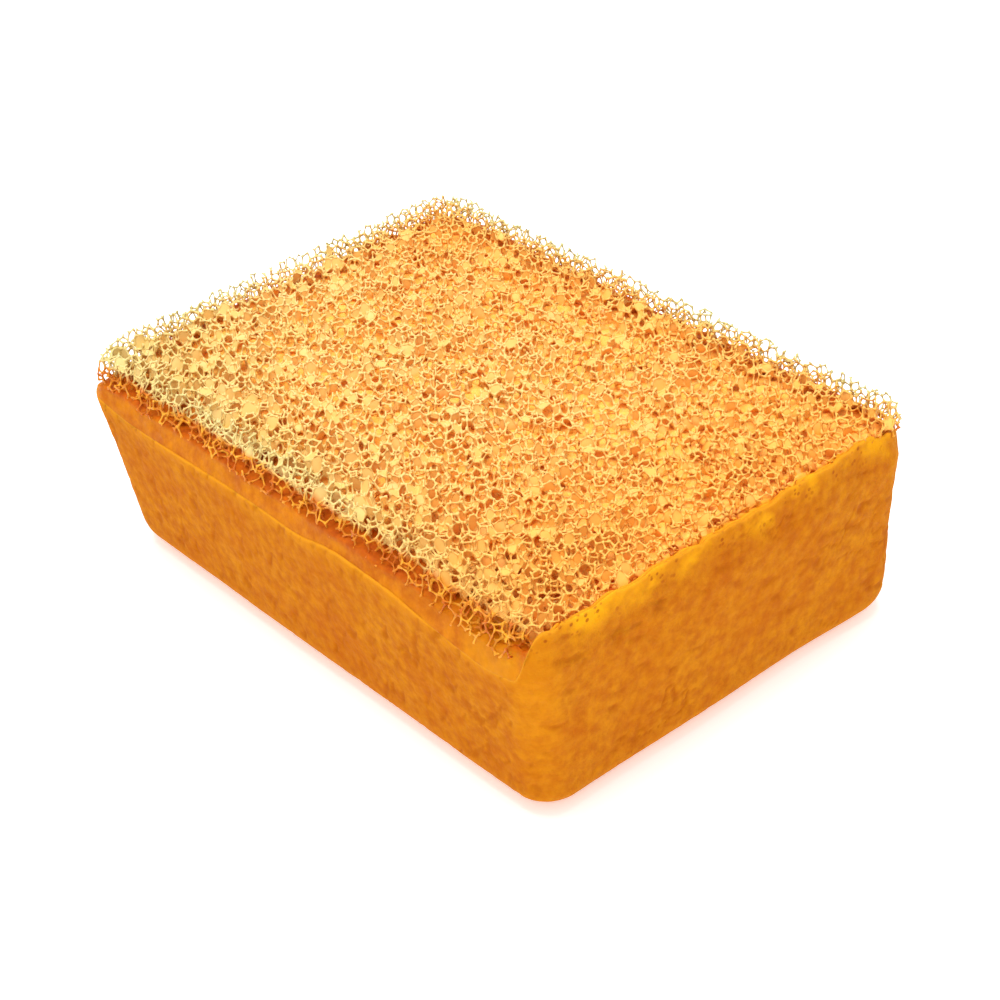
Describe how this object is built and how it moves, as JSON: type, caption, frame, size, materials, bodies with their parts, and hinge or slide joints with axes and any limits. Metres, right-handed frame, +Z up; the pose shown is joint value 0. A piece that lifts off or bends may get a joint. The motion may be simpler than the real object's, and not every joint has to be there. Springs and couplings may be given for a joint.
{
  "type": "grout sponge",
  "caption": "Rectangular moulded foam grout sponge with drafted sides, rounded edges and an open-cell scrub pad bonded on top.",
  "frame": {"origin": "middle of the footprint, on the surface that the sponge's foam base stands on", "axes": "+X along the long side, towards the end whose skin rises beside the pad; +Y across the sponge; +Z up, from the foam base to the scrub pad"},
  "size_m": [0.184, 0.13, 0.061],
  "materials": {
    "hydrophilic_foam": "matt, fine moulded foam skin",
    "soaked_foam": "satin, rough foam that has filled the pad's lower cells",
    "open_cell_foam": "satin strands, open cells about 3 to 4 mm across"
  },
  "bodies": {
    "root": {"sponge_body": "hydrophilic_foam", "bond_layer": "soaked_foam", "scrub_pad": "open_cell_foam"}
  },
  "joints": []
}
